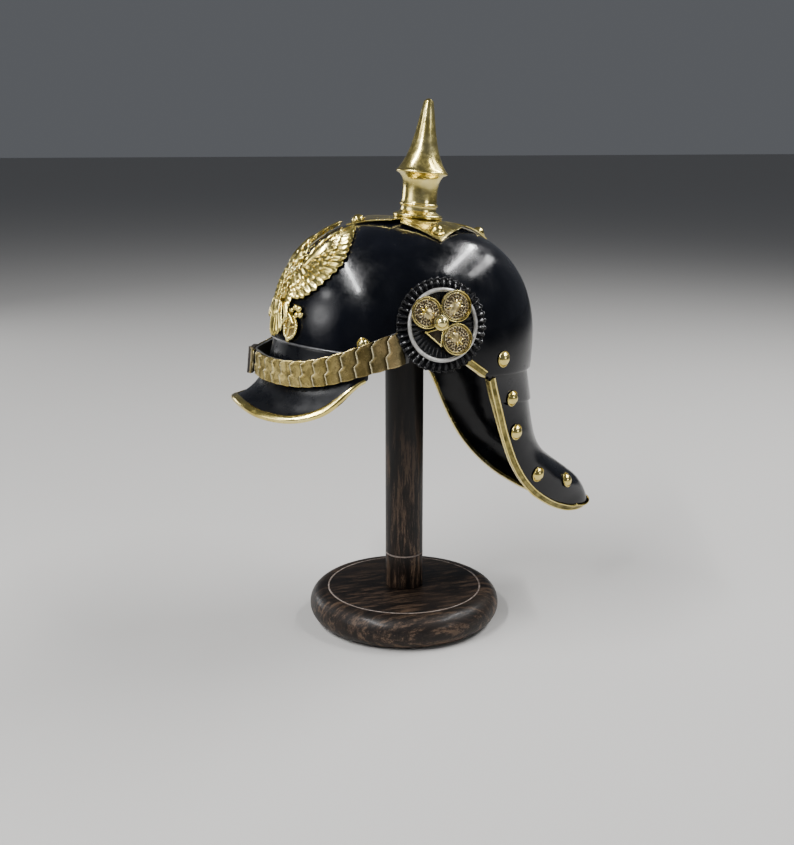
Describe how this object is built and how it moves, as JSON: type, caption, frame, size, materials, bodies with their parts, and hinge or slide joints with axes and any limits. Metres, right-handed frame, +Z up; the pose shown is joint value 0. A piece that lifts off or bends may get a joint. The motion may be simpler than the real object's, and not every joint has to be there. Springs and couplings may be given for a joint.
{
  "type": "spiked helmet on a wooden stand",
  "caption": "Black lacquered spiked helmet with brass eagle plate, cross plate, scaled chin strap, cockades and long neck guard, on a turned wooden stand.",
  "frame": {"origin": "centre of the underside of the stand's base, on the surface it stands on", "axes": "+Z up; the front of the helmet faces -Y; the wearer's left is +X"},
  "size_m": [0.2218, 0.3464, 0.4669],
  "materials": {
    "lacquer": "black lacquered leather, glossy",
    "brass": "polished brass with light wear",
    "aged_brass": "toned brass, olive in the recesses",
    "white_metal": "pale white metal, satin",
    "cockade_black": "pleated black lacquer, semi-gloss",
    "strap_leather": "grey worn leather edge",
    "wood": "dark stained wood, semi-gloss varnish"
  },
  "bodies": {
    "root": {"stand_base": "wood", "stand_post": "wood", "stand_cap": "wood", "shell": "lacquer", "front_peak": "lacquer", "front_peak_trim": "brass", "neck_lame": "lacquer", "neck_tail": "lacquer", "neck_trim": "brass", "side_trim_left": "brass", "side_trim_right": "brass", "eagle_plate": "brass", "cross_plate": "brass", "spike": "brass", "chin_strap": "strap_leather", "chin_scales_left": "aged_brass", "chin_scales_right": "aged_brass", "cockade_left": "cockade_black", "cockade_right": "cockade_black", "cockade_ring_left": "white_metal", "cockade_ring_right": "white_metal", "trefoil_left": "aged_brass", "trefoil_right": "aged_brass", "trefoil_boss_left": "aged_brass", "trefoil_boss_right": "aged_brass", "cross_stud_front": "brass", "cross_stud_rear": "brass", "cross_stud_left": "brass", "cross_stud_right": "brass", "peak_stud_left": "brass", "peak_stud_right": "brass", "rivet_shell_left": "brass", "rivet_shell_right": "brass", "rivet_lame_left": "brass", "rivet_lame_right": "brass", "rivet_tail_left": "brass", "rivet_tail_right": "brass", "rivet_flare_left": "brass", "rivet_flare_right": "brass", "rivet_tip_left": "brass", "rivet_tip_right": "brass"}
  },
  "joints": []
}
